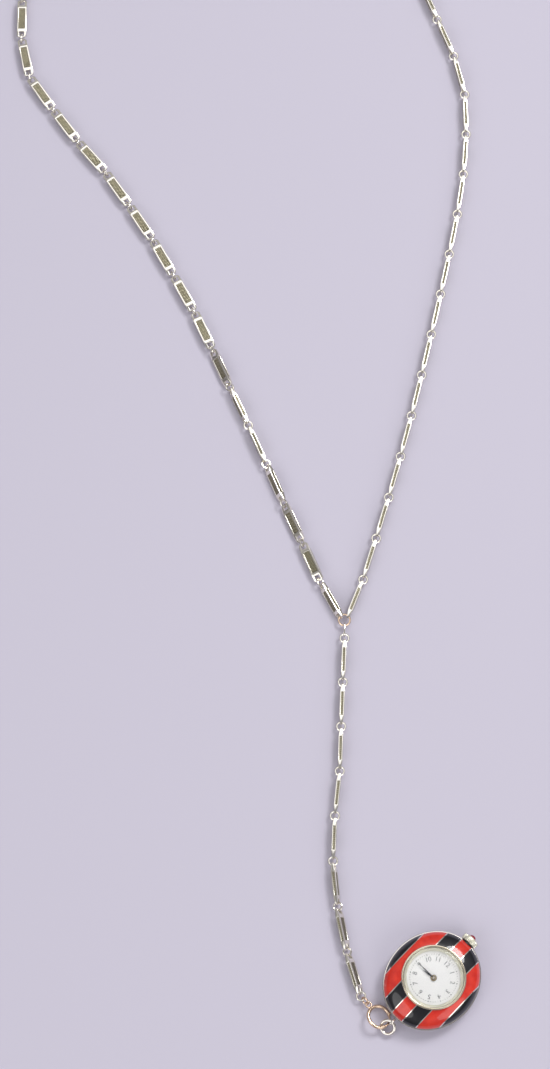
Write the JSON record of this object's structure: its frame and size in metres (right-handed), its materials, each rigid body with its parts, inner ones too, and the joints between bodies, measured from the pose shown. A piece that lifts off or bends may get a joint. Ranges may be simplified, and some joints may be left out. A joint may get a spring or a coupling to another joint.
{
  "type": "pendant watch",
  "caption": "Oval enamelled pendant watch on a long chain of bar links, with crown, spring ring clasp and hand-wound movement, laid out flat.",
  "frame": {"origin": "centre of the flat that the case back rests on, under the dial's middle", "axes": "+Z through the dial away from the table, +Y from the watch towards the top of the laid-out chain"},
  "size_m": [0.1364, 0.3546, 0.0096],
  "materials": {
    "silver": "polished silver",
    "champagne": "polished pale gold",
    "chain_metal": "polished pale metal with textured panels",
    "warm_gold": "polished gold",
    "enamel_red": "glossy enamel",
    "enamel_black": "glossy enamel",
    "crystal": "clear",
    "dial": "satin silvered",
    "hands": "dark polished",
    "movement": "satin",
    "steel": "brushed",
    "ruby": "polished red stone"
  },
  "bodies": {
    "junction": {"junction_ring": "warm_gold"},
    "connector": {"drop_connector": "chain_metal"},
    "drop_8": {"drop_link_8": "chain_metal"},
    "drop_7": {"drop_link_7": "chain_metal"},
    "drop_6": {"drop_link_6": "chain_metal"},
    "drop_5": {"drop_link_5": "chain_metal"},
    "drop_4": {"drop_link_4": "chain_metal"},
    "drop_3": {"drop_link_3": "chain_metal"},
    "drop_2": {"drop_link_2": "chain_metal"},
    "drop_1": {"drop_link_1": "chain_metal"},
    "jump_ring": {"clasp_jump_ring": "warm_gold"},
    "clasp": {"spring_ring_body": "warm_gold"},
    "clasp_bolt": {"spring_ring_bolt": "warm_gold"},
    "bow": {"bow_ring": "silver"},
    "case": {"case_body": "silver", "enamel_red": "enamel_red", "enamel_black": "enamel_black", "case_back": "silver", "bezel_ring": "champagne", "crystal": "crystal", "reflector_ring": "champagne", "dial": "dial", "bow_lug": "silver", "pendant_tube": "silver", "main_plate": "movement", "train_bridge": "movement", "barrel_bridge": "movement", "balance_cock": "movement"},
    "minute_work": {"centre_wheel": "movement", "cannon_pinion": "steel", "minute_hand": "hands"},
    "hour_work": {"hour_wheel": "movement", "hour_hand": "hands"},
    "minute_wheel": {"minute_wheel": "movement"},
    "barrel": {"barrel": "movement"},
    "third_wheel": {"third_wheel": "movement"},
    "fourth_wheel": {"fourth_wheel": "movement"},
    "escape_wheel": {"escape_wheel": "steel"},
    "pallet_fork": {"pallet_fork": "steel"},
    "balance": {"balance_wheel": "movement", "hairspring": "steel"},
    "setting_lever": {"setting_lever": "steel"},
    "winding_work": {"winding_stem": "steel", "crown": "champagne", "crown_cabochon": "ruby"},
    "crown_wheel": {"crown_wheel": "steel"},
    "ratchet_wheel": {"ratchet_wheel": "steel"},
    "left_1": {"left_strand_1": "chain_metal"},
    "left_2": {"left_strand_2": "chain_metal"},
    "left_3": {"left_strand_3": "chain_metal"},
    "left_4": {"left_strand_4": "chain_metal"},
    "left_5": {"left_strand_5": "chain_metal"},
    "left_6": {"left_strand_6": "chain_metal"},
    "right_1": {"right_strand_1": "chain_metal"},
    "right_2": {"right_strand_2": "chain_metal"},
    "right_3": {"right_strand_3": "chain_metal"},
    "right_4": {"right_strand_4": "chain_metal"},
    "right_5": {"right_strand_5": "chain_metal"},
    "right_6": {"right_strand_6": "chain_metal"}
  },
  "joints": [
    {"name": "connector_swing", "type": "hinge", "parent": "junction", "child": "connector", "pos_m": [-0.0238, 0.10235, 0.0015], "axis": [0, 0, 1], "range_deg": [-25, 25]},
    {"name": "drop_swing_8", "type": "hinge", "parent": "connector", "child": "drop_8", "pos_m": [-0.0238, 0.09701, 0.0015], "axis": [0, 0, 1], "range_deg": [-40, 40]},
    {"name": "drop_swing_7", "type": "hinge", "parent": "drop_8", "child": "drop_7", "pos_m": [-0.02436, 0.08422, 0.0015], "axis": [0, 0, -1], "range_deg": [-40, 40]},
    {"name": "drop_swing_6", "type": "hinge", "parent": "drop_7", "child": "drop_6", "pos_m": [-0.02492, 0.07143, 0.0015], "axis": [0, 0, 1], "range_deg": [-40, 40]},
    {"name": "drop_swing_5", "type": "hinge", "parent": "drop_6", "child": "drop_5", "pos_m": [-0.02537, 0.05864, 0.0015], "axis": [0, 0, -1], "range_deg": [-40, 40]},
    {"name": "drop_swing_4", "type": "hinge", "parent": "drop_5", "child": "drop_4", "pos_m": [-0.02682, 0.04592, 0.0015], "axis": [0, 0, 1], "range_deg": [-30, 30]},
    {"name": "drop_swing_3", "type": "hinge", "parent": "drop_4", "child": "drop_3", "pos_m": [-0.02737, 0.03313, 0.0015], "axis": [0, 0, -1], "range_deg": [-20, 20]},
    {"name": "drop_swing_2", "type": "hinge", "parent": "drop_3", "child": "drop_2", "pos_m": [-0.02615, 0.02039, 0.0015], "axis": [0, 0, 1], "range_deg": [-15, 15]},
    {"name": "drop_swing_1", "type": "hinge", "parent": "drop_2", "child": "drop_1", "pos_m": [-0.02359, 0.00785, 0.0015], "axis": [0, 0, -1], "range_deg": [-15, 15]},
    {"name": "jump_ring_swing", "type": "hinge", "parent": "drop_1", "child": "jump_ring", "pos_m": [-0.01985, -0.00439, 0.0015], "axis": [0, 0, 1], "range_deg": [-15, 15]},
    {"name": "clasp_swing", "type": "hinge", "parent": "jump_ring", "child": "clasp", "pos_m": [-0.01781, -0.0068, 0.0019], "axis": [0.3097, 0.2636, 0.9135], "range_deg": [-20, 20]},
    {"name": "bolt_slide", "type": "hinge", "parent": "clasp", "child": "clasp_bolt", "pos_m": [-0.01498, -0.01012, 0.0019], "axis": [0.3097, 0.2636, 0.9135], "range_deg": [0, 44], "stiffness_Nm_per_rad": 0.00002, "springref_deg": -20.05},
    {"name": "bow_swing", "type": "hinge", "parent": "clasp", "child": "bow", "pos_m": [-0.01498, -0.01012, 0.0019], "axis": [0.3097, 0.2636, 0.9135], "range_deg": [-10, 10]},
    {"name": "case_swing", "type": "hinge", "parent": "bow", "child": "case", "pos_m": [-0.01136, -0.01169, 0.0026], "axis": [0.7169, -0.6972, 0], "range_deg": [0, 70]},
    {"name": "minute_spin", "type": "hinge", "parent": "case", "child": "minute_work", "pos_m": [0, 0, 0.0042], "axis": [0, 0, -1], "continuous": true},
    {"name": "hour_spin", "type": "hinge", "parent": "case", "child": "hour_work", "pos_m": [0, 0, 0.00595], "axis": [0, 0, -1], "continuous": true},
    {"name": "minute_wheel_spin", "type": "hinge", "parent": "case", "child": "minute_wheel", "pos_m": [-0.00049, -0.00194, 0.0056], "axis": [0, 0, -1], "continuous": true},
    {"name": "barrel_spin", "type": "hinge", "parent": "case", "child": "barrel", "pos_m": [-0.00046, 0.00387, 0.00255], "axis": [0, 0, -1], "continuous": true},
    {"name": "third_spin", "type": "hinge", "parent": "case", "child": "third_wheel", "pos_m": [0.00258, -0.00251, 0.0033], "axis": [0, 0, -1], "continuous": true},
    {"name": "fourth_spin", "type": "hinge", "parent": "case", "child": "fourth_wheel", "pos_m": [0.00066, -0.00504, 0.00375], "axis": [0, 0, -1], "continuous": true},
    {"name": "escape_spin", "type": "hinge", "parent": "case", "child": "escape_wheel", "pos_m": [-0.00192, -0.00448, 0.00295], "axis": [0, 0, -1], "continuous": true},
    {"name": "fork_rock", "type": "hinge", "parent": "case", "child": "pallet_fork", "pos_m": [-0.00394, -0.00349, 0.00295], "axis": [0, 0, -1], "range_deg": [-5, 5]},
    {"name": "balance_swing", "type": "hinge", "parent": "case", "child": "balance", "pos_m": [-0.00549, -0.00041, 0.0026], "axis": [0, 0, -1], "range_deg": [-150, 150], "stiffness_Nm_per_rad": 0.00000001},
    {"name": "crown_pull", "type": "slide", "parent": "case", "child": "setting_lever", "axis": [0.6972, 0.7169, 0], "range_m": [0, 0.0008]},
    {"name": "crown_spin", "type": "hinge", "parent": "setting_lever", "child": "winding_work", "pos_m": [0.00976, 0.01004, 0.0034], "axis": [0.6972, 0.7169, 0], "continuous": true},
    {"name": "crown_wheel_spin", "type": "hinge", "parent": "case", "child": "crown_wheel", "pos_m": [0.00333, 0.00359, 0.0014], "axis": [0, 0, -1], "continuous": true},
    {"name": "ratchet_spin", "type": "hinge", "parent": "case", "child": "ratchet_wheel", "pos_m": [-0.00046, 0.00387, 0.0014], "axis": [0, 0, -1], "continuous": true},
    {"name": "left_swing_1", "type": "hinge", "parent": "junction", "child": "left_1", "pos_m": [-0.0238, 0.10235, 0.0015], "axis": [0, 0, 1], "range_deg": [0, 20]},
    {"name": "left_swing_2", "type": "hinge", "parent": "left_1", "child": "left_2", "pos_m": [-0.04616, 0.14867, 0.0015], "axis": [0, 0, 1], "range_deg": [0, 30]},
    {"name": "left_swing_3", "type": "hinge", "parent": "left_2", "child": "left_3", "pos_m": [-0.06797, 0.19631, 0.0015], "axis": [0, 0, 1], "range_deg": [0, 30]},
    {"name": "left_swing_4", "type": "hinge", "parent": "left_3", "child": "left_4", "pos_m": [-0.09481, 0.23984, 0.0015], "axis": [0, 0, 1], "range_deg": [0, 30]},
    {"name": "left_swing_5", "type": "hinge", "parent": "left_4", "child": "left_5", "pos_m": [-0.11987, 0.28322, 0.0015], "axis": [0, 0, 1], "range_deg": [0, 30]},
    {"name": "left_swing_6", "type": "hinge", "parent": "left_5", "child": "left_6", "pos_m": [-0.09618, 0.32582, 0.0015], "axis": [0, 0, 1], "range_deg": [0, 30]},
    {"name": "right_swing_1", "type": "hinge", "parent": "junction", "child": "right_1", "pos_m": [-0.0238, 0.10235, 0.0015], "axis": [0, 0, -1], "range_deg": [0, 20]},
    {"name": "right_swing_2", "type": "hinge", "parent": "right_1", "child": "right_2", "pos_m": [-0.00725, 0.15097, 0.0015], "axis": [0, 0, -1], "range_deg": [0, 30]},
    {"name": "right_swing_3", "type": "hinge", "parent": "right_2", "child": "right_3", "pos_m": [0.00503, 0.20067, 0.0015], "axis": [0, 0, -1], "range_deg": [0, 30]},
    {"name": "right_swing_4", "type": "hinge", "parent": "right_3", "child": "right_4", "pos_m": [0.01336, 0.25111, 0.0015], "axis": [0, 0, -1], "range_deg": [0, 30]},
    {"name": "right_swing_5", "type": "hinge", "parent": "right_4", "child": "right_5", "pos_m": [0.00045, 0.30006, 0.0015], "axis": [0, 0, -1], "range_deg": [0, 30]},
    {"name": "right_swing_6", "type": "hinge", "parent": "right_5", "child": "right_6", "pos_m": [-0.02476, 0.32837, 0.0015], "axis": [0, 0, -1], "range_deg": [0, 30]}
  ],
  "couplings": [
    {"joint": "minute_spin", "follows": "third_spin", "ratio": -0.125},
    {"joint": "hour_spin", "follows": "third_spin", "ratio": -0.010417},
    {"joint": "minute_wheel_spin", "follows": "third_spin", "ratio": 0.041667},
    {"joint": "barrel_spin", "follows": "third_spin", "ratio": 0.022727},
    {"joint": "fourth_spin", "follows": "third_spin", "ratio": -7.5},
    {"joint": "escape_spin", "follows": "third_spin", "ratio": 75},
    {"joint": "crown_wheel_spin", "follows": "crown_spin", "ratio": 0.53333},
    {"joint": "ratchet_spin", "follows": "crown_spin", "ratio": -0.34783}
  ]
}
